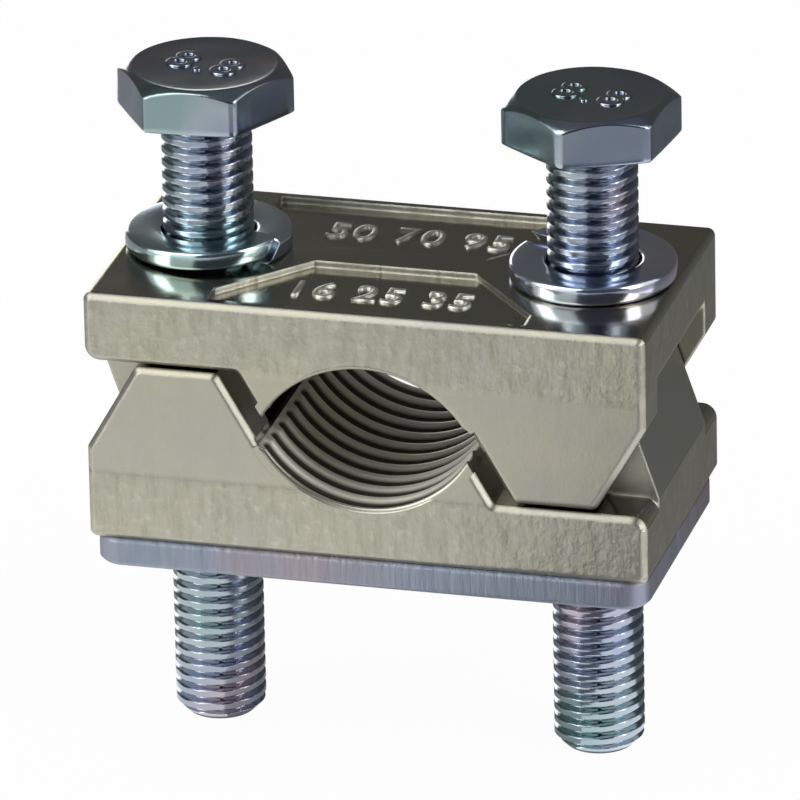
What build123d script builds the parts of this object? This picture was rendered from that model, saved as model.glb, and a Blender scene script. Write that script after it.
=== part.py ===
from build123d import *
import math
import os

# Parallel groove clamp: two identical cast jaws close a serrated groove around two
# conductors. Each jaw has a fork of two cheeks at one end and a tongue at the other, so
# that the tongue of one jaw drops between the cheeks of the other. Two long hexagon bolts
# pass through spring lock washers and both jaws into a tapped plate under the lower jaw.
# Frame: X along the jaws, Y along the groove, +Z up. The origin lies midway between the
# bolts, at the height of the bolt ends. All sizes are in millimetres.

# ------------------------------------------------------------------ driving dimensions
# bolts, M10 x 70 with thread up to the head
bolt_end_distance = 9.55
bolt_length = 70.0
shank_diameter = 9.85
tip_diameter = 7.4
head_across_flats = 17.0
head_height = 5.0
head_flat_diameter = 16.1
head_chamfer_angle = 30.0
head_seat_diameter = 14.8
head_seat_height = 0.4
left_head_turn = 3.4
right_head_turn = 23.5

# tapped plate
plate_inset = 0.3
plate_thickness = 3.3
plate_corner_radius = 3.0
plate_edge_chamfer = 0.4
bolt_protrusion = 22.9
thread_clearance = 0.05

# jaws
jaw_length = 61.8
jaw_depth = 33.0
base_height = 7.7
lug_height = 20.2
lug_top_clearance = 0.4
cheek_thickness = 5.6
cheek_top_setback = 5.6
tongue_top_setback = 4.3
tongue_side_clearance = 0.35
flank_angle = 60.0
base_edge_radius = 0.8
ledge_edge_radius = 1.6
lug_top_radius = 1.0
shoulder_radius = 0.9
tooth_foot_radius = 0.5
corner_chamfer = 0.6
bolt_hole_diameter = 11.0

# conductor groove
groove_radius = 13.6
groove_floor = 5.6
tooth_gap = 2.1
serration_count = 11
serration_depth = 0.7
serration_land = 0.35
serration_run_up = 0.6

# shallow recesses in the outer face of each jaw
recess_depth = 0.75
bolt_pad_width = 13.5
recess_taper = 8.4
recess_start = 2.1
recess_shoulder = 12.0
recess_lip = 1.5

# spring lock washers
washer_inner_diameter = 10.2
washer_outer_diameter = 18.1
washer_thickness = 2.2
washer_split_gap = 0.9
washer_split_slant = -35.0
left_split_angle = -25.0
right_split_angle = 150.0

# ------------------------------------------------------------------ levels
stack_height = base_height + lug_height + lug_top_clearance
plate_bottom = bolt_protrusion
jaw_bottom = plate_bottom + plate_thickness
jaw_top = jaw_bottom + stack_height
groove_centre = groove_floor + groove_radius
bolt_x = jaw_length / 2 - bolt_end_distance
bolt_places = {"left": -bolt_x, "right": bolt_x}


ON_BASE = (Align.CENTER, Align.CENTER, Align.MIN)


def xz(x, z):
    """Point of a section in the XZ plane."""
    return Vector(x, 0, z)


def jaw_section(top_setback, shoulder):
    """Section of a jaw with its lug on the left, as a face in the XZ plane.

    The inner flank of the lug runs tangent into the groove. Its outer flank leans from the
    end face at the height shoulder to the lug's top, top_setback inside the end face.
    The tooth on the other side has an outer flank parallel to the flank of the opposite
    jaw's lug, one tooth_gap away.
    """
    slope = math.radians(flank_angle)
    half = jaw_length / 2

    def on_groove(angle):
        return xz(groove_radius * math.sin(angle), groove_centre - groove_radius * math.cos(angle))

    tangent = on_groove(-slope)
    lug_top_inner = tangent.X - (lug_height - tangent.Z) / math.tan(slope)

    opposite_centre = stack_height - groove_centre
    flank_offset = groove_radius - tooth_gap
    lens = (groove_centre - opposite_centre) * math.cos(slope)
    tip_angle = math.acos((lens - flank_offset) / groove_radius) - slope
    tip = on_groove(tip_angle)
    foot_x = (flank_offset - (base_height - opposite_centre) * math.cos(slope)) / math.sin(slope)

    rounded = [
        (xz(lug_top_inner, lug_height), lug_top_radius),
        (xz(top_setback - half, lug_height), lug_top_radius),
        (xz(-half, shoulder), shoulder_radius),
        (xz(-half, 0), base_edge_radius),
        (xz(half, 0), base_edge_radius),
        (xz(half, base_height), ledge_edge_radius),
        (xz(foot_x, base_height), tooth_foot_radius),
    ]
    corners = [tangent] + [corner for corner, radius in rounded] + [tip]
    edges = [Edge.make_line(a, b) for a, b in zip(corners, corners[1:])]
    edges.append(Edge.make_three_point_arc(tip, on_groove((tip_angle - slope) / 2), tangent))
    section = Face(Wire(edges))
    for corner, radius in rounded:
        vertex = min(section.vertices(), key=lambda v: (Vector(*v) - corner).length)
        section = section.fillet_2d(radius, [vertex])
    return section


def slab(section, front, back):
    """Solid with the given XZ section between two values of Y."""
    return extrude(Pos(0, front, 0) * section, amount=back - front, dir=(0, 1, 0))


def serrations():
    """Cutter for the rings of the groove: pairs of cones that leave a narrow land at each crest."""
    pitch = jaw_depth / serration_count
    flank_fall = 2 * serration_depth / (pitch - serration_land)
    inner_radius = groove_radius + serration_depth - flank_fall * pitch / 2
    half_ring = Cone(groove_radius + serration_depth, inner_radius, pitch / 2, align=ON_BASE)
    ring = half_ring + mirror(half_ring, about=Plane.XY)
    rings = Part() + [Pos(0, 0, (number + 0.5) * pitch) * ring for number in range(serration_count)]
    cutter = Rot(90, 0, 0) * Pos(0, 0, -jaw_depth / 2) * rings
    reach = groove_radius * (1 - math.cos(math.radians(flank_angle))) + serration_run_up
    window = Pos(0, 0, -groove_radius - serration_depth) * Box(
        jaw_length, jaw_depth, 2 * (reach + serration_depth))
    return Pos(0, 0, groove_centre) * (cutter & window)


def outer_recess():
    """Cutter for the front recess of the outer face: a trapezoid just inside the front edge."""
    front = recess_lip - jaw_depth / 2
    outer = jaw_length / 2 - bolt_pad_width
    inner = outer - recess_taper
    outline = Polyline(
        (-outer, front),
        (-outer, -recess_shoulder),
        (-inner, -recess_start),
        (inner, -recess_start),
        (outer, -recess_shoulder),
        (outer, front),
        close=True,
    )
    return extrude(make_face(outline), amount=recess_depth)


def jaw():
    """One jaw with its outer face on z = 0, its fork on the left and its tongue on the right."""
    cheek_shoulder = lug_height - cheek_top_setback * math.tan(math.radians(flank_angle))
    fork_section = jaw_section(cheek_top_setback, cheek_shoulder)
    tongue_section = mirror(jaw_section(tongue_top_setback, base_height), about=Plane.YZ)
    half = jaw_depth / 2
    cheek = half - cheek_thickness
    tongue = cheek - tongue_side_clearance
    shared = slab(fork_section, -half, half) & slab(tongue_section, -half, half)
    body = shared + slab(fork_section, -half, -cheek) + slab(fork_section, cheek, half)
    body += slab(tongue_section, -tongue, tongue)
    at_corner = [e for e in body.edges().filter_by(Axis.Z)
                 if abs(abs(e.center().Y) - half) < 0.01 and abs(abs(e.center().X) - jaw_length / 2) < 0.01]
    body = chamfer(at_corner, corner_chamfer)
    body -= serrations()
    for x in bolt_places.values():
        body -= Pos(x, 0, 0) * Cylinder(bolt_hole_diameter / 2, 2 * stack_height)
    body -= outer_recess()
    body -= Rot(0, 0, 180) * outer_recess()
    return body


def threaded_plate():
    """Plate under the lower jaw, with a tapped hole for each bolt."""
    plate = Box(jaw_length - 2 * plate_inset, jaw_depth - 2 * plate_inset, plate_thickness, align=ON_BASE)
    plate = fillet(plate.edges().filter_by(Axis.Z), plate_corner_radius)
    rims = plate.edges().group_by(Axis.Z)[0] + plate.edges().group_by(Axis.Z)[-1]
    plate = chamfer(rims, plate_edge_chamfer)
    for x in bolt_places.values():
        plate -= Pos(x, 0, 0) * Cylinder(shank_diameter / 2 + thread_clearance, 3 * plate_thickness)
    return Pos(0, 0, plate_bottom) * plate


def bolt(head_turn):
    """Hexagon bolt standing on its end at the origin, with the head turned by head_turn."""
    tip_height = (shank_diameter - tip_diameter) / 2
    shank = Cylinder(shank_diameter / 2, bolt_length, align=ON_BASE)
    shank = chamfer(shank.edges().group_by(Axis.Z)[0], tip_height)

    across_corners = head_across_flats / math.cos(math.pi / 6)
    blank = extrude(RegularPolygon(across_corners / 2, 6, rotation=head_turn), amount=head_height)
    flat_radius = head_flat_diameter / 2
    cone_drop = (across_corners / 2 - flat_radius) * math.tan(math.radians(head_chamfer_angle))
    silhouette = Polyline(
        (0, 0, 0),
        (across_corners / 2, 0, 0),
        (across_corners / 2, 0, head_height - cone_drop),
        (flat_radius, 0, head_height),
        (0, 0, head_height),
        close=True,
    )
    head = blank & revolve(make_face(silhouette), axis=Axis.Z)
    seat = Cylinder(head_seat_diameter / 2, head_seat_height, align=ON_BASE)
    raised = Pos(0, 0, head_seat_height) * head
    return shank + Pos(0, 0, bolt_length) * (seat + raised)


def lock_washer(split_angle):
    """Spring lock washer: a square-edged ring cut through by a slanted split at split_angle."""
    inner = washer_inner_diameter / 2
    outer = washer_outer_diameter / 2
    ring = Cylinder(outer, washer_thickness, align=ON_BASE) - Cylinder(inner, 3 * washer_thickness)
    slit = Box(2 * (outer - inner), washer_split_gap, 3 * washer_thickness)
    middle = Pos((inner + outer) / 2, 0, washer_thickness / 2)
    return Rot(0, 0, split_angle) * (ring - middle * Rot(washer_split_slant, 0, 0) * slit)


def build():
    """All pieces in place, by node name."""
    lower = jaw()
    upper = Pos(0, 0, stack_height) * Rot(0, 180, 0) * jaw()
    pieces = {
        "threaded_plate": threaded_plate(),
        "lower_jaw": Pos(0, 0, jaw_bottom) * lower,
        "upper_jaw": Pos(0, 0, jaw_bottom) * upper,
    }
    head_turns = {"left": left_head_turn, "right": right_head_turn}
    split_angles = {"left": left_split_angle, "right": right_split_angle}
    for side, x in bolt_places.items():
        pieces[side + "_lock_washer"] = Pos(x, 0, jaw_top) * lock_washer(split_angles[side])
        pieces[side + "_bolt"] = Pos(x, 0, 0) * bolt(head_turns[side])
    return pieces


os.makedirs("parts", exist_ok=True)
for name, piece in build().items():
    export_step(piece, os.path.join("parts", name + ".step"))
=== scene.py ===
import math

import bpy
import numpy as np
from mathutils import Matrix, Vector


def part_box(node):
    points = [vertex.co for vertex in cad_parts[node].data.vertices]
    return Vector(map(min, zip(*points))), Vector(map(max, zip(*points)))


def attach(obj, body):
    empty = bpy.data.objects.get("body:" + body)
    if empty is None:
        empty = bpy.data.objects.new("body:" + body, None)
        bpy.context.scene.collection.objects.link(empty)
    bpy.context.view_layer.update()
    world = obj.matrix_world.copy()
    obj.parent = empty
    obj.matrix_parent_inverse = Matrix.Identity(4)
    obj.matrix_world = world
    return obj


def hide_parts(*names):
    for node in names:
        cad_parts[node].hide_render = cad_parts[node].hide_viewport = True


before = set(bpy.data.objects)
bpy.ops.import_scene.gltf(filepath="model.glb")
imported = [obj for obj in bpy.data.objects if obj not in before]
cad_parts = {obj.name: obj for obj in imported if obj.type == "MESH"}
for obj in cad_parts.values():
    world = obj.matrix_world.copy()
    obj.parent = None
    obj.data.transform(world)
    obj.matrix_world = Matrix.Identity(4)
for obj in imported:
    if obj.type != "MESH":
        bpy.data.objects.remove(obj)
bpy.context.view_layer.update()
scene = bpy.context.scene
scene.view_settings.view_transform = "Standard"

# ---------------------------------------------------------------- camera
# A long lens a good metre away, a little to the right of the clamp's front and above it.
MM = 0.001
CAMERA_AZIMUTH = math.radians(15.262)
CAMERA_ELEVATION = math.radians(22.918)
CAMERA_ROLL = math.radians(-1.178)
CAMERA_DISTANCE = 1297.3 * MM
CAMERA_AIM = Vector((-0.403, 0.0, 11.922)) * MM + Vector((0, 0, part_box("lower_jaw")[0].z))
CAMERA_LENS = 540.7
SENSOR_WIDTH = 36.0

away = Vector((
    math.sin(CAMERA_AZIMUTH) * math.cos(CAMERA_ELEVATION),
    -math.cos(CAMERA_AZIMUTH) * math.cos(CAMERA_ELEVATION),
    math.sin(CAMERA_ELEVATION),
))
camera_data = bpy.data.cameras.new("camera")
camera_data.lens = CAMERA_LENS
camera_data.sensor_width = SENSOR_WIDTH
camera_data.clip_start = 0.01
camera_data.clip_end = 50.0
camera = bpy.data.objects.new("camera", camera_data)
scene.collection.objects.link(camera)
camera.matrix_world = (
    Matrix.Translation(CAMERA_AIM + away * CAMERA_DISTANCE)
    @ away.to_track_quat("Z", "Y").to_matrix().to_4x4()
    @ Matrix.Rotation(CAMERA_ROLL, 4, "Z")
)
scene.camera = camera

# ---------------------------------------------------------------- studio
# A white floor and surround and a soft box to each side. Cards stand round the clamp that
# only the metal sees: they darken the upper faces, the right end and the middles of the screws.


class Socket:
    """A shader socket that adds Math nodes when it is used in an expression."""

    def __init__(self, tree, socket):
        self.tree = tree
        self.socket = socket

    def math(self, operation, *others):
        node = self.tree.nodes.new("ShaderNodeMath")
        node.operation = operation
        for place, value in enumerate((self,) + others):
            feed(self.tree, node.inputs[place], value)
        return Socket(self.tree, node.outputs[0])

    def __add__(self, other):
        return self.math("ADD", other)

    def __radd__(self, other):
        return self.math("ADD", other)

    def __sub__(self, other):
        return self.math("SUBTRACT", other)

    def __rsub__(self, other):
        return (self * -1.0) + other

    def __mul__(self, other):
        return self.math("MULTIPLY", other)

    def __rmul__(self, other):
        return self.math("MULTIPLY", other)

    def between(self, low, high):
        """Nought below low, one above high and a straight rise between them."""
        return ((self - low) * (1.0 / (high - low))).math("MAXIMUM", 0.0).math("MINIMUM", 1.0)


def feed(tree, target, value):
    """Links a wrapped socket into target, or sets target to a plain value."""
    if isinstance(value, Socket):
        tree.links.new(value.socket, target)
    else:
        target.default_value = value


class Finish:
    """A node tree under construction: make() adds a node and returns one of its outputs."""

    def __init__(self, name, tree=None):
        if tree is None:
            self.material = bpy.data.materials.new(name)
            self.material.use_nodes = True
            tree = self.material.node_tree
        self.tree = tree
        self.tree.nodes.clear()

    def make(self, kind, settings=None, sockets=None, output=0):
        node = self.tree.nodes.new(kind)
        for key, value in (settings or {}).items():
            if key == "stops":
                ramp = node.color_ramp
                while len(ramp.elements) < len(value):
                    ramp.elements.new(0.5)
                for element, (place, colour) in zip(ramp.elements, value):
                    element.position = place
                    element.color = (*colour, 1.0)
            else:
                setattr(node, key, value)
        for key, value in (sockets or {}).items():
            feed(self.tree, node.inputs[key], value)
        return Socket(self.tree, node.outputs[output])

    def noise(self, place, scale, detail=2.0, roughness=0.5):
        return self.make("ShaderNodeTexNoise", None, {
            "Vector": place, "Scale": scale, "Detail": detail, "Roughness": roughness})

    def blend(self, share, first, second):
        """Colour mix: first where share is nought and second where it is one."""
        return self.make("ShaderNodeMix", {"data_type": "RGBA"}, {
            0: share, 6: first if isinstance(first, Socket) else (*first, 1.0),
            7: second if isinstance(second, Socket) else (*second, 1.0)}, 2)

    def steepness(self):
        """Height part of the surface's direction: nought on upright faces, one on level ones."""
        facing = self.make("ShaderNodeTexCoord", None, None, "Normal")
        return self.make("ShaderNodeSeparateXYZ", None, {0: facing}, 2).math("ABSOLUTE")

    def rounded_edges(self, samples, radius):
        """Normal with its edges rounded, and how far it leans from the surface: nought when flat."""
        rounded = self.make("ShaderNodeBevel", {"samples": samples}, {"Radius": radius})
        true_normal = self.make("ShaderNodeNewGeometry", None, None, 3)
        same = self.make("ShaderNodeVectorMath", {"operation": "DOT_PRODUCT"}, {
            0: rounded, 1: true_normal}, 1)
        return rounded, 1.0 - same

    def surface(self, shader):
        self.make_end("ShaderNodeOutputMaterial", shader)
        return self.material

    def make_end(self, kind, shader):
        out = self.tree.nodes.new(kind)
        self.tree.links.new(shader.socket, out.inputs["Surface"])


def new_piece(name, mesh):
    thing = bpy.data.objects.new(name, mesh)
    scene.collection.objects.link(thing)
    return thing


def card(name, centre, facing, width, height, finish):
    """Flat rectangle at centre whose face looks along facing."""
    turn = Vector(facing).normalized().to_track_quat("Z", "Y").to_matrix()
    middle = np.array(centre, float)
    across = np.array(turn.col[0]) * width / 2
    up = np.array(turn.col[1]) * height / 2
    corners = np.array([
        middle - across - up, middle + across - up, middle + across + up, middle - across + up])
    mesh = bpy.data.meshes.new(name)
    mesh.from_pydata(corners.tolist(), [], [(0, 1, 2, 3)])
    thing = new_piece(name, mesh)
    mesh.materials.append(finish)


FLOOR_GLOW = 0.965
FLOOR_SIZE = 6.0
FLOOR_LEVEL = -0.1 * MM

floor_finish = Finish("studio_floor")
floor_body = floor_finish.make("ShaderNodeBsdfDiffuse", None, {"Color": (0.86, 0.86, 0.85, 1)})
floor_glow = floor_finish.make("ShaderNodeEmission", None, {"Color": (1, 1, 1, 1), "Strength": 1.0})
seen_by_camera = floor_finish.make("ShaderNodeLightPath", None, None, "Is Camera Ray")
floor_mix = floor_finish.make("ShaderNodeMixShader", None, {
    0: seen_by_camera * FLOOR_GLOW, 1: floor_body, 2: floor_glow})
card("floor", (0, 0, FLOOR_LEVEL), (0, 0, 1), FLOOR_SIZE, FLOOR_SIZE, floor_finish.surface(floor_mix))

DIFFUSE_SURROUND = 0.6

scene.world = bpy.data.worlds.new("studio")
scene.world.use_nodes = True
surround = Finish("studio", scene.world.node_tree)
mirror_rays = surround.make("ShaderNodeLightPath", None, None, "Is Glossy Ray")
glass_rays = surround.make("ShaderNodeLightPath", None, None, "Is Transmission Ray")
camera_rays = surround.make("ShaderNodeLightPath", None, None, "Is Camera Ray")
direct = camera_rays.math("MAXIMUM", mirror_rays).math("MAXIMUM", glass_rays)
surround.make_end("ShaderNodeOutputWorld", surround.make("ShaderNodeBackground", None, {
    "Color": (1, 1, 1, 1), "Strength": direct * (1.0 - DIFFUSE_SURROUND) + DIFFUSE_SURROUND}))


def soft_box(name, centre, aim, width, height, power):
    """Rectangular lamp at centre that looks at aim."""
    data = bpy.data.lights.new(name, "AREA")
    data.shape = "RECTANGLE"
    data.size = width
    data.size_y = height
    data.energy = power
    lamp = bpy.data.objects.new(name, data)
    scene.collection.objects.link(lamp)
    lamp.location = centre
    lamp.rotation_euler = (Vector(aim) - Vector(centre)).to_track_quat("-Z", "Y").to_euler()


LAMP_AIM = (0, 0, 0.04)

soft_box("left_soft_box", (-0.8, -0.6, 0.45), LAMP_AIM, 0.4, 0.9, 3.6)
soft_box("right_soft_box", (0.85, -0.3, 0.45), LAMP_AIM, 0.3, 0.9, 2.7)

CARD_DISTANCE = 0.6
CARD_TOP = 0.95
CEILING = 0.8
GLOW_DISTANCE = 0.56
NEAR_FLOOR = 0.165
FLOOR_CARD_LIFT = 0.4 * MM
CARD_STEPS = 24


def reflected_card(name, first, last, outline, glow):
    """Card swept round the clamp from azimuth first to last, counted from the front to the right.

    outline is a pair of (distance, height) points, each turned about the upright axis:
    point = (distance * sin(azimuth), -distance * cos(azimuth), height).
    """
    turn = np.radians(np.linspace(first, last, CARD_STEPS))[:, None]
    distance, height = np.array(outline, float).T
    points = np.stack([distance * np.sin(turn), -distance * np.cos(turn), height + 0 * turn], -1)
    index = np.arange(2 * CARD_STEPS).reshape(CARD_STEPS, 2)
    quads = np.stack([index[:-1, 0], index[:-1, 1], index[1:, 1], index[1:, 0]], -1)
    mesh = bpy.data.meshes.new(name)
    mesh.from_pydata(points.reshape(-1, 3).tolist(), [], quads.tolist())
    made = Finish(name)
    mesh.materials.append(made.surface(made.make("ShaderNodeEmission", None, {
        "Color": (*glow, 1.0), "Strength": 1.0})))
    thing = new_piece(name, mesh)
    thing.visible_camera = False
    thing.visible_diffuse = False
    thing.visible_shadow = False
    thing.visible_transmission = False


def upright(distance, top):
    return ((distance, 0.0), (distance, top))


def on_floor(inner, outer):
    return ((inner, FLOOR_CARD_LIFT), (outer, FLOOR_CARD_LIFT))


reflected_card("card_behind_camera", -8, 60, upright(CARD_DISTANCE, CARD_TOP), (0.05, 0.055, 0.07))
reflected_card("card_behind", 108, 284, upright(CARD_DISTANCE, CARD_TOP), (0.09, 0.09, 0.085))
reflected_card("horizon_glow_wall", 197, 224, upright(GLOW_DISTANCE, 0.2), (2.2, 2.2, 2.1))
reflected_card("horizon_glow_floor", 197, 224, on_floor(0.2, GLOW_DISTANCE), (2.0, 2.0, 1.9))
reflected_card("card_above", 0, 360, ((0.001, CEILING), (GLOW_DISTANCE, CEILING)), (0.13, 0.13, 0.15))
reflected_card("glow_above_left", -75, -8, ((0.5, 0.5), (0.25, 0.75)), (2.6, 2.6, 2.5))
reflected_card("near_floor_left", -102, 8, on_floor(0.02, NEAR_FLOOR), (1.05, 1.05, 1.03))
reflected_card("far_floor_left", -78, 8, on_floor(NEAR_FLOOR, CARD_DISTANCE), (0.68, 0.7, 0.7))
reflected_card("near_floor_right", 47, 99, on_floor(0.02, NEAR_FLOOR), (1.2, 1.2, 1.25))
reflected_card("near_floor_front", 8, 47, on_floor(0.02, NEAR_FLOOR), (0.14, 0.15, 0.18))
reflected_card("far_floor_front", 8, 99, on_floor(NEAR_FLOOR, CARD_DISTANCE), (0.4, 0.42, 0.44))
reflected_card("near_floor_behind", 100, 216, on_floor(0.01, NEAR_FLOOR), (0.2, 0.2, 0.2))
reflected_card("far_floor_behind", 99, 196, on_floor(NEAR_FLOOR, CARD_DISTANCE), (0.14, 0.15, 0.16))
reflected_card("near_floor_behind_left", 217, 257, on_floor(0.02, NEAR_FLOOR), (0.35, 0.35, 0.36))
reflected_card("far_floor_behind_left", 225, 282, on_floor(NEAR_FLOOR, CARD_DISTANCE), (0.3, 0.3, 0.32))

# ---------------------------------------------------------------- cast jaws
# Two identical castings of tinned brass. Their outer faces are smooth and bright, the
# sides keep the fine upright marks of the trimmed parting line, and edges are rubbed and
# carry painted highlights.

CAST_CHAMPAGNE = (0.455, 0.437, 0.352)
CAST_GREY = (0.43, 0.425, 0.38)
CAST_YELLOW = (0.44, 0.43, 0.34)
# Bright colour of the edges: partly rubbed metal, partly painted highlight where the rounded edges catch the
# light.
CAST_RUBBED_AND_HIGHLIGHT = (0.80, 0.79, 0.72)
CAST_DARK = (0.30, 0.285, 0.22)
CAST_EDGE_RADIUS = 0.5 * MM
CAST_BAND = 7.7 * MM
CAST_BAND_RISE = 0.7

jaw_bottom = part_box("lower_jaw")[0].z
jaw_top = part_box("upper_jaw")[1].z


def casting_finish(name, smooth_outer, rub_and_highlight=0.0, edge_radius=CAST_EDGE_RADIUS):
    """Satin cast metal. smooth_outer is 1 where faces that look up or down are polished.

    The third argument, from 0 to 1, paints the whole surface in the bright colour of the edges, which is
    partly rubbed metal and partly painted highlight.
    """
    made = Finish(name)
    place = made.make("ShaderNodeTexCoord", None, None, "Object")
    steepness = made.steepness()
    upright_face = 1.0 - steepness.between(0.1, 0.2)
    side = 1.0 - steepness.between(0.85, 0.97) * smooth_outer

    drawn = made.make("ShaderNodeMapping", None, {"Vector": place, "Scale": (1.0, 1.0, 0.24)})
    streaks = made.noise(drawn, 950.0, 3.0, 0.65)
    torn = made.noise(place, 850.0, 2.0, 0.6)
    patches = made.noise(place, 95.0, 3.0, 0.55)
    dents = made.noise(place, 260.0, 2.0, 0.5)
    grain = made.noise(place, 2300.0, 2.0, 0.6)

    tall = made.make("ShaderNodeSeparateXYZ", None, {0: place}, 2)
    from_middle = (tall - (jaw_bottom + jaw_top) / 2).math("ABSOLUTE")
    band_start = (jaw_top - jaw_bottom) / 2 - CAST_BAND
    band = from_middle.between(band_start - 0.4 * MM, band_start + 0.5 * MM) * upright_face
    under_ledge = jaw_bottom + CAST_BAND + (torn - 0.5) * (0.2 * MM) - tall
    ledge = under_ledge.between(-0.15 * MM, 0.15 * MM) * upright_face

    rounded, lean = made.rounded_edges(6, edge_radius)
    # Edge mask: the rounded edges are painted bright, partly as rubbed wear and partly as painted highlight.
    edge = lean.between(0.02, 0.2) * dents.between(0.3, 0.62)

    height = streaks * (band * 1.0 + upright_face * 0.15) + torn * (band * 1.7) + ledge * CAST_BAND_RISE
    height = height + grain * (side * 0.3 + 0.03) + dents * 0.9
    bump = made.make("ShaderNodeBump", None, {
        "Strength": 1.0, "Distance": 0.05 * MM, "Height": height, "Normal": rounded})

    tone = made.blend(patches.between(0.35, 0.65), CAST_CHAMPAGNE, CAST_GREY)
    tone = made.blend(band * streaks.between(0.3, 0.7) * 0.6, tone, CAST_YELLOW)
    tone = made.blend(streaks.between(0.45, 0.7) * (band * 0.4 + upright_face * 0.1), tone, CAST_DARK)
    # Torn marks in the band and the rounded edges get the bright edge colour: painted highlights as well as
    # rubbed metal.
    tone = made.blend(torn.between(0.54, 0.72) * (band * 0.16 + upright_face * 0.04), tone, CAST_RUBBED_AND_HIGHLIGHT)
    tone = made.blend(edge * 0.8 + rub_and_highlight, tone, CAST_RUBBED_AND_HIGHLIGHT)
    roughness = side * 0.22 + patches * 0.1 + 0.1 - edge * 0.08
    return made.surface(made.make("ShaderNodeBsdfPrincipled", None, {
        "Base Color": tone, "Metallic": 1.0, "Roughness": roughness, "Normal": bump}))


casting = casting_finish("tinned_casting", 1.0)
for jaw_name in ("lower_jaw", "upper_jaw"):
    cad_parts[jaw_name].data.materials.clear()
    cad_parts[jaw_name].data.materials.append(casting)

# ---------------------------------------------------------------- rings of the groove
# Each half of the conductor groove is cast with eleven sharp rings that bite into the
# cable. They stand on the wall of the groove and run out into the flank of the lug. The
# crests are painted bright as a highlight and the valleys dark as shade.

GROOVE_RADIUS = 13.58 * MM
GROOVE_CENTRE = 19.2 * MM
RING_RISE = 0.6 * MM
RING_DEPTH = 0.56 * MM
RING_COUNT = 11
RING_STEPS = 12
RING_END_ROUNDING = 0.45 * MM
RING_COLLAR = 0.75 * MM
RING_PROUD = 0.006 * MM
RING_END_BOW = 0.1 * MM
RING_RUN_OUT = 0.035
# Crest colour near white is a painted highlight; valley colour near black is painted shade in the ring
# valleys.
RING_CREST_HIGHLIGHT = (0.93, 0.91, 0.83)
RING_VALLEY_SHADE = (0.085, 0.08, 0.065)
FLANK_ANGLE = math.radians(60.0)
TOOTH_PLANE = 6.45 * MM
GROOVE_STATIONS = 90
SHARP_ANGLE = math.radians(50.0)


def closed_tube(name, rings):
    """Skin over rings of points, shape (rings, points, 3), with a fan over each end ring."""
    count, around = rings.shape[:2]
    index = np.arange(count * around).reshape(count, around)
    after = np.roll(index, -1, axis=1)
    quads = np.stack([index[:-1], after[:-1], after[1:], index[1:]], -1).reshape(-1, 4)
    first = np.full(around, count * around)
    caps = np.vstack([
        np.stack([first, after[0], index[0]], -1), np.stack([first + 1, index[-1], after[-1]], -1)])
    points = np.vstack([rings.reshape(-1, 3), rings[0].mean(0), rings[-1].mean(0)])
    mesh = bpy.data.meshes.new(name)
    mesh.from_pydata(points.tolist(), [], quads.tolist() + caps.tolist())
    mesh.polygons.foreach_set("use_smooth", np.ones(len(mesh.polygons), bool))
    mesh.set_sharp_from_angle(angle=SHARP_ANGLE)
    mesh.update()
    return new_piece(name, mesh)


def groove_rings(node, side):
    """Rings of one half groove as closed loops, and the valley value of each point.

    The valley value is -1 on a crest, 1 in the bottom of a valley and -2 on the jaw's face.

    Along Y the radius is groove radius - share * (rise - depth * wave), where wave is half of
    1 - cos(whole turn * y / pitch). Both ends are rounded by a quarter circle and end in a collar
    on the jaw's face. share rises smoothly from nought on the flank of the lug to one. The last
    loop lies in the plane of the tooth's outer flank, at the angle acos(-plane / radius) - flank
    angle. One more loop at each end is drawn out into a thin bow at the collar's radius, inside
    the metal, and closes the wall there. side is 1 for the lower jaw and -1 for the upper one,
    which is turned half round about Y.
    """
    low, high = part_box(node)
    half = (high.y - low.y) / 2
    run = np.linspace(-half, half, RING_COUNT * RING_STEPS * 2 + 1)
    wave = (1 - np.cos((run + half) * RING_COUNT * math.pi / half)) / 2
    from_end = np.clip(1 - (half - np.abs(run)) / RING_END_ROUNDING, 0, 1)
    rounding = RING_END_ROUNDING * (1 - np.sqrt(np.maximum(1 - from_end ** 2, 0)))

    part = np.linspace(0, 1, GROOVE_STATIONS)[:, None]
    share = np.clip(part / RING_RUN_OUT, 0, 1)
    share = share * share * (3 - 2 * share)
    inner = GROOVE_RADIUS - share * (RING_RISE - RING_DEPTH * wave - rounding)
    face = GROOVE_RADIUS + RING_COLLAR * np.array([1.0, 0.95, 0.2])[None, :] + 0 * part
    radius = np.hstack([face, inner, face[:, ::-1]])
    front = -half - RING_PROUD
    along = np.concatenate([np.full(3, front), run, np.full(3, -front)]) + 0 * part
    valley = np.concatenate([np.full(3, -1.0), wave * 2 - 1, np.full(3, -1.0)]) * share + (share - 1)
    valley = np.where(np.abs(along) > half - RING_END_ROUNDING * 0.6, -2.0, valley)
    spread = np.linspace(1, -1, radius.shape[1])[None, :]
    bowed = face[:1, :1] + RING_END_BOW * (0.5 - (1 - spread ** 2))
    radius = np.vstack([bowed, radius, bowed])
    along = np.vstack([front * spread, along, front * spread])
    valley = np.vstack([valley[:1], valley, valley[-1:]])
    part = np.vstack([part[:1], part, part[-1:]])
    last = np.arccos(-TOOTH_PLANE / radius) - FLANK_ANGLE
    angle = side * (-FLANK_ANGLE + part * (last + FLANK_ANGLE))
    centre = (low.z + GROOVE_CENTRE) if side > 0 else (high.z - GROOVE_CENTRE)
    loops = np.stack([radius * np.sin(angle), along, centre - side * radius * np.cos(angle)], -1)
    return loops[:, ::-1], valley[:, ::-1]


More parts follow.
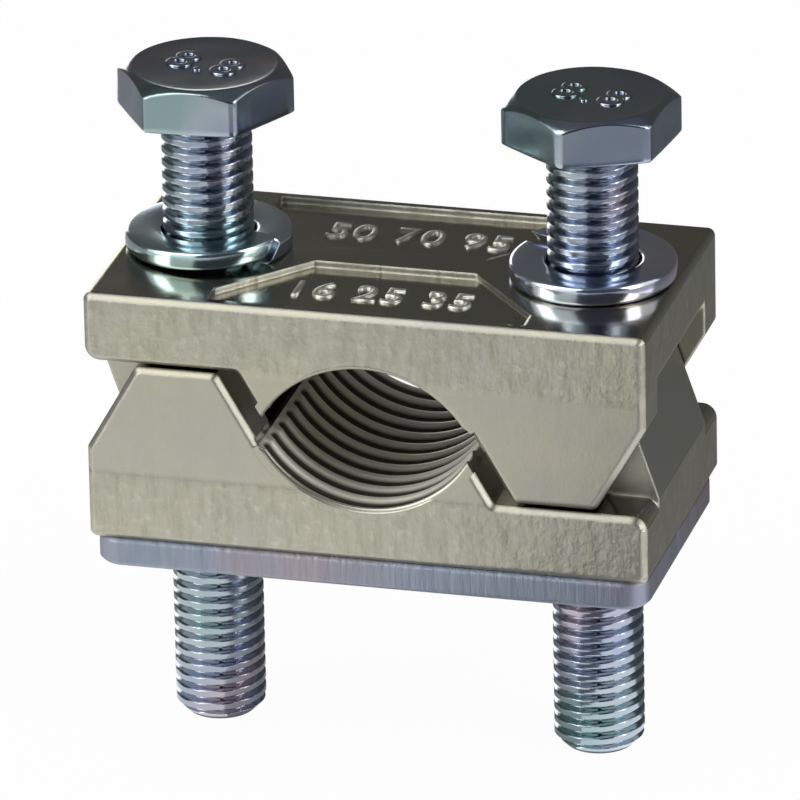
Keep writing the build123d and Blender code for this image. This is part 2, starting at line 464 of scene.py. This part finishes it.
def ring_finish():
    """The jaws' metal, with a painted highlight on the crests and painted shade in the valleys, set by the
    valley attribute.
    """
    made = Finish("ring_casting")
    place = made.make("ShaderNodeTexCoord", None, None, "Object")
    valley = made.make("ShaderNodeAttribute", {"attribute_name": "valley"}, None, 2)
    patches = made.noise(place, 95.0, 3.0, 0.55)
    grain = made.noise(place, 1800.0, 2.0, 0.6)
    # Painted shade in the valleys and painted highlight on the crests.
    valley_shade = valley.between(-0.45, 0.5)
    tone = made.blend(valley_shade, RING_CREST_HIGHLIGHT, RING_VALLEY_SHADE)
    bump = made.make("ShaderNodeBump", None, {"Strength": 1.0, "Distance": 0.05 * MM, "Height": grain * 0.5})
    return made.surface(made.make("ShaderNodeBsdfPrincipled", None, {
        "Base Color": tone, "Metallic": 1.0, "Roughness": patches * 0.1 + 0.55, "Normal": bump}))


rings_finish = ring_finish()
face_finish = casting_finish("tinned_ring_face", 1.0, 0.0, 0.0)
for jaw_name, side, body in (("lower_jaw", 1, "base"), ("upper_jaw", -1, "lifting_jaw")):
    loops, valley = groove_rings(jaw_name, side)
    lining = closed_tube(jaw_name + "_groove_rings", loops)
    lining.data.materials.append(rings_finish)
    lining.data.materials.append(face_finish)
    on_face = (valley < -1.5) & (np.roll(valley, -1, axis=1) < -1.5)
    on_face[[1, -1]] = True
    finish_index = np.zeros(len(lining.data.polygons), int)
    finish_index[:on_face[1:].size] = on_face[1:].ravel()
    lining.data.polygons.foreach_set("material_index", finish_index)
    depths = lining.data.attributes.new("valley", "FLOAT", "POINT")
    depths.data.foreach_set("value", np.concatenate([valley.ravel(), (0.0, 0.0)]))
    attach(lining, body)

# ---------------------------------------------------------------- cast numbers
# Plain cable sizes stand a third of a millimetre proud in the two shallow recesses on
# top of the upper jaw. They are cast with it, so they are soft edged.

RECESS_DEPTH = 0.75 * MM
NUMBER_HEIGHT = 5.6 * MM
NUMBER_RISE = 0.16 * MM
NUMBER_ROUNDING = 0.14 * MM
NUMBER_SPACING = 1.05
FRONT_ROW = -8.8 * MM
REAR_ROW = 8.0 * MM


def raised_figures(name, text, size, rise, rounding, centre, turn, spacing):
    """Mesh of rounded raised figures that stand on centre and read from the front."""
    letters = bpy.data.curves.new(name, "FONT")
    letters.body = text
    letters.align_x = "CENTER"
    letters.align_y = "CENTER"
    letters.size = size
    letters.space_character = spacing
    letters.extrude = rise
    letters.bevel_depth = rounding
    letters.bevel_resolution = 2
    letters.offset = -rounding * 0.5
    drawn = new_piece(name + "_outline", letters)
    ready = drawn.evaluated_get(bpy.context.evaluated_depsgraph_get())
    mesh = bpy.data.meshes.new_from_object(ready)
    bpy.data.objects.remove(drawn)
    mesh.transform(Matrix.Translation(centre) @ Matrix.Rotation(turn, 4, "Z"))
    mesh.name = name
    return new_piece(name, mesh)


# The figures are painted all over in the bright edge colour: rubbed metal and a painted highlight on their
# rounded tops.
figures_finish = casting_finish("cast_figures", 0.0, 1.0)
for row_name, row_text, row_y in (
        ("front_cast_numbers", "16 25 35", FRONT_ROW), ("rear_cast_numbers", "50 70 95", REAR_ROW)):
    row = raised_figures(row_name, row_text, NUMBER_HEIGHT, NUMBER_RISE, NUMBER_ROUNDING,
                         Vector((0, row_y, jaw_top - RECESS_DEPTH)), 0.0, NUMBER_SPACING)
    row.data.materials.append(figures_finish)
    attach(row, "lifting_jaw")

# ---------------------------------------------------------------- tapped plate
# A blank of zinc plated steel, punched out of strip, with both threads cut in it. The
# punched edge is torn and drawn upright, and the plating turns from violet to blue.

ZINC_BLUE = (0.28, 0.32, 0.40)
ZINC_TEAL = (0.25, 0.34, 0.34)
ZINC_VIOLET = (0.37, 0.33, 0.37)
ZINC_STEEL = (0.34, 0.38, 0.42)
# Paler colour drawn on the edges where the rounded-edge normal leans from the true one.
ZINC_EDGE_PALE = (0.70, 0.74, 0.80)


def zinc_finish(name, roughness, tint_scale, streak, edge_radius, gain=1.0):
    """Blue passivated zinc: tints drift over a few millimetres, and streak roughens upright faces.

    tint_scale is the number of drifts in a metre. gain brightens every tint, for the screws and
    washers, which are smoother than the plate.
    """
    violet, blue, steel, teal = (
        tuple(part * gain for part in tint) for tint in (ZINC_VIOLET, ZINC_BLUE, ZINC_STEEL, ZINC_TEAL))
    made = Finish(name)
    place = made.make("ShaderNodeTexCoord", None, None, "Object")
    level = made.steepness().between(0.7, 0.95)
    upright = made.make("ShaderNodeMapping", None, {"Vector": place, "Scale": (1.0, 1.0, 0.1)})
    marks = made.noise(upright, 1100.0, 3.0, 0.6)
    drift = made.noise(place, tint_scale, 1.0, 0.4)
    clouds = made.noise(place, tint_scale * 3.1, 2.0, 0.5)
    grain = made.noise(place, 2200.0, 2.0, 0.6)
    rounded, lean = made.rounded_edges(4, edge_radius)
    edge = lean.between(0.03, 0.25)
    tint = made.make("ShaderNodeValToRGB", {"stops": (
        (0.34, violet), (0.45, blue), (0.56, steel), (0.68, teal))}, {0: drift})
    tone = made.blend(clouds.between(0.4, 0.7) * 0.4, tint, blue)
    # Edges drawn paler along the rounded-edge lean.
    tone = made.blend(edge * 0.6, tone, ZINC_EDGE_PALE)
    height = marks * (1.0 - level) * streak + grain * 0.12 + clouds * 0.25
    bump = made.make("ShaderNodeBump", None, {
        "Strength": 1.0, "Distance": 0.05 * MM, "Height": height, "Normal": rounded})
    return made.surface(made.make("ShaderNodeBsdfPrincipled", None, {
        "Base Color": tone, "Metallic": 1.0,
        "Roughness": clouds * 0.14 + marks * (0.2 * streak) + (roughness - 0.07), "Normal": bump}))


plate_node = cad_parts["threaded_plate"]
plate_node.data.materials.clear()
plate_node.data.materials.append(zinc_finish("zinc_plate", 0.26, 42.0, 2.6, 0.6 * MM))

# ---------------------------------------------------------------- hexagon bolts
# Fully threaded M10 screws, cold headed and rolled, then zinc plated. Each is one turned
# surface: the forged hexagon, its washer face, the rolled thread and the pointed end.

THREAD_PITCH = 1.5 * MM
THREAD_MAJOR = 9.85 * MM
THREAD_DEPTH = 0.8 * MM
THREAD_ROWS_PER_TURN = 12
THREAD_CREST = 0.46
THREAD_FADE = 1.3 * MM
END_RADIUS = 3.7 * MM
HEAD_FLATS = 17.0 * MM
HEAD_HEIGHT = 5.4 * MM
HEAD_FLAT_RADIUS = 8.05 * MM
HEAD_SEAT_RADIUS = 7.4 * MM
HEAD_SEAT_HEIGHT = 0.4 * MM
HEAD_CHAMFER = math.tan(math.radians(30.0))
HEAD_CORNER_SHARPNESS = 90.0
BOLT_COLUMNS = 96
LEFT_HEAD_TURN = 3.4
RIGHT_HEAD_TURN = 23.5
MARK_HEIGHT = 6.6 * MM
MARK_RISE = 0.13 * MM
MARK_ROUNDING = 0.12 * MM
MARK_DEPTH = 0.16 * MM
MARK_TURN = math.radians(-14.0)
MARK_SPACING = 1.1


def bolt_rings(middle, low, high, head_turn):
    """Rings of a hexagon bolt from its end up to its head.

    Shank: radius = half the major diameter less the thread depth times a clipped triangle
    wave of height / pitch - angle / whole turn, never more than the cone of the end.
    Head: radius = apothem / (sum over the six flats of max(0, cos(angle - flat)) ** n) ** (1 / n),
    a hexagon with rounded corners, cut above by the chamfer's cone.
    """
    angle = np.arange(BOLT_COLUMNS) * (2 * math.pi / BOLT_COLUMNS) + math.radians(head_turn)
    seat = high - HEAD_HEIGHT

    rows = int(round((seat - low) / THREAD_PITCH * THREAD_ROWS_PER_TURN))
    shank_z = np.linspace(low, seat, rows + 1)[:, None] + 0 * angle
    turn = (shank_z - low) / THREAD_PITCH - angle / (2 * math.pi)
    wave = np.abs((turn % 1.0) * 2.0 - 1.0)
    groove = np.clip((wave - THREAD_CREST) / THREAD_CREST, 0.0, 1.0)
    groove = groove - 0.06 * np.sin(groove * 2 * math.pi)
    fade = np.clip((seat - shank_z) / THREAD_FADE, 0.0, 1.0)
    shank_r = THREAD_MAJOR / 2 - THREAD_DEPTH * (groove * fade + 0.35 * (1.0 - fade))
    shank_r = np.minimum(shank_r, END_RADIUS + (shank_z - low))

    end_steps = np.array([0.15, 0.5, 0.85, 0.97])[:, None]
    end_r = END_RADIUS * end_steps + 0 * angle
    end_z = low + 0 * end_r

    flats = np.arange(6) * (math.pi / 3) + math.radians(head_turn) + math.pi / 6
    nearness = np.maximum(np.cos(angle[None, :] - flats[:, None]), 0.0) ** HEAD_CORNER_SHARPNESS
    hexagon = HEAD_FLATS / 2 / nearness.sum(0) ** (1.0 / HEAD_CORNER_SHARPNESS)
    under = seat + HEAD_SEAT_HEIGHT
    seat_r = HEAD_SEAT_RADIUS * np.array([0.72, 0.97, 1.0, 1.0, 1.005])[:, None] + 0 * angle
    seat_z = np.array([seat, seat, seat + 0.05 * MM, under - 0.03 * MM, under])[:, None] + 0 * angle
    skirt_steps = np.array([0.3, 0.7, 0.94, 0.985, 1.0])[:, None]
    skirt_r = HEAD_SEAT_RADIUS * (1 - skirt_steps) + hexagon * skirt_steps
    skirt_z = under + np.array([0.0, 0.0, 0.02, 0.12, 0.3])[:, None] * MM + 0 * angle
    side_top = high - np.maximum(hexagon - HEAD_FLAT_RADIUS, 0.0) * HEAD_CHAMFER
    side_steps = np.array([0.12, 0.5, 0.88])[:, None]
    side_r = hexagon + 0 * side_steps
    side_z = (under + 0.3 * MM) * (1 - side_steps) + (side_top - 0.2 * MM) * side_steps
    slope_steps = np.array([1.0, 0.985, 0.93, 0.5, 0.12])[:, None]
    slope_r = HEAD_FLAT_RADIUS + (hexagon - HEAD_FLAT_RADIUS) * slope_steps
    slope_z = high - (hexagon - HEAD_FLAT_RADIUS) * HEAD_CHAMFER * slope_steps
    slope_z = slope_z - np.array([0.2, 0.08, 0.0, 0.0, 0.0])[:, None] * MM
    face_steps = np.array([0.985, 0.96, 0.9, 0.7, 0.4, 0.12])[:, None]
    face_r = HEAD_FLAT_RADIUS * face_steps + 0 * angle
    face_z = high - np.array([0.0, 0.03, 0.07, 0.1, 0.12, 0.12])[:, None] * MM + 0 * angle

    radius = np.vstack([end_r, shank_r, seat_r, skirt_r, side_r, slope_r, face_r])
    height = np.vstack([end_z, shank_z, seat_z, skirt_z, side_z, slope_z, face_z])
    return np.stack([middle.x + radius * np.cos(angle), middle.y + radius * np.sin(angle), height], -1)


bolt_zinc = zinc_finish("zinc_bolt", 0.14, 75.0, 0.25, 0.12 * MM, 1.28)
for hand, head_turn in (("left", LEFT_HEAD_TURN), ("right", RIGHT_HEAD_TURN)):
    low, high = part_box(hand + "_bolt")
    middle = (low + high) / 2
    bolt = closed_tube(hand + "_hexagon_bolt", bolt_rings(middle, low.z, high.z, head_turn))
    bolt.data.materials.append(bolt_zinc)
    marks = raised_figures(hand + "_head_grade", "8.8", MARK_HEIGHT, MARK_RISE, MARK_ROUNDING,
                           Vector((middle.x, middle.y, high.z - MARK_DEPTH)), MARK_TURN, MARK_SPACING)
    marks.data.materials.append(bolt_zinc)
    for piece in (bolt, marks):
        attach(piece, hand + "_screw")
    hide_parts(hand + "_bolt")

# ---------------------------------------------------------------- spring lock washers
# Square section spring steel wound to a single turn, cut through on a slant and zinc
# plated. One end stands up from the jaw.

WASHER_INNER = 5.1 * MM
WASHER_OUTER = 9.05 * MM
WASHER_THICKNESS = 2.2 * MM
WASHER_RISE = 0.75 * MM
WASHER_ROUNDING = 0.55 * MM
WASHER_GAP = math.radians(6.0)
WASHER_SLANT = math.radians(7.0)
WASHER_STATIONS = 160
WASHER_CORNER_STEPS = 5
LEFT_SPLIT = math.radians(-25.0)
RIGHT_SPLIT = math.radians(150.0)


def washer_rings(middle, low, split):
    """Rounded rectangle carried once round a helix.

    The profile runs clockwise in the plane of radius and height. Station s from 0 to 1 is at
    the angle split + gap / 2 + s * (whole turn - gap), raised by s ** 4 * rise. The end cuts lean,
    so a point's angle also shifts with its height times the slant.
    """
    middle_r = (WASHER_INNER + WASHER_OUTER) / 2
    half_w = (WASHER_OUTER - WASHER_INNER) / 2 - WASHER_ROUNDING
    half_h = WASHER_THICKNESS / 2 - WASHER_ROUNDING
    bend = np.linspace(0, math.pi / 2, WASHER_CORNER_STEPS)
    corners = ((-1, 1, math.pi), (1, 1, math.pi / 2), (1, -1, 0.0), (-1, -1, -math.pi / 2))
    radial = np.concatenate([x * half_w + WASHER_ROUNDING * np.cos(start - bend) for x, y, start in corners])
    tall = np.concatenate([y * half_h + WASHER_ROUNDING * np.sin(start - bend) for x, y, start in corners])
    along = np.linspace(0, 1, WASHER_STATIONS)[:, None]
    angle = split + WASHER_GAP / 2 + along * (2 * math.pi - WASHER_GAP)
    angle = angle + WASHER_SLANT * tall / (WASHER_THICKNESS / 2)
    lift = WASHER_RISE * along ** 4
    r = middle_r + radial + 0 * along
    z = low + WASHER_THICKNESS / 2 + tall + lift
    return np.stack([middle.x + r * np.cos(angle), middle.y + r * np.sin(angle), z], -1)


washer_zinc = zinc_finish("zinc_washer", 0.14, 60.0, 0.1, 0.15 * MM, 2.2)
for hand, split in (("left", LEFT_SPLIT), ("right", RIGHT_SPLIT)):
    low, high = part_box(hand + "_lock_washer")
    washer = closed_tube(hand + "_spring_washer", washer_rings((low + high) / 2, low.z, split))
    washer.data.materials.append(washer_zinc)
    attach(washer, "lifting_jaw")
    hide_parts(hand + "_lock_washer")
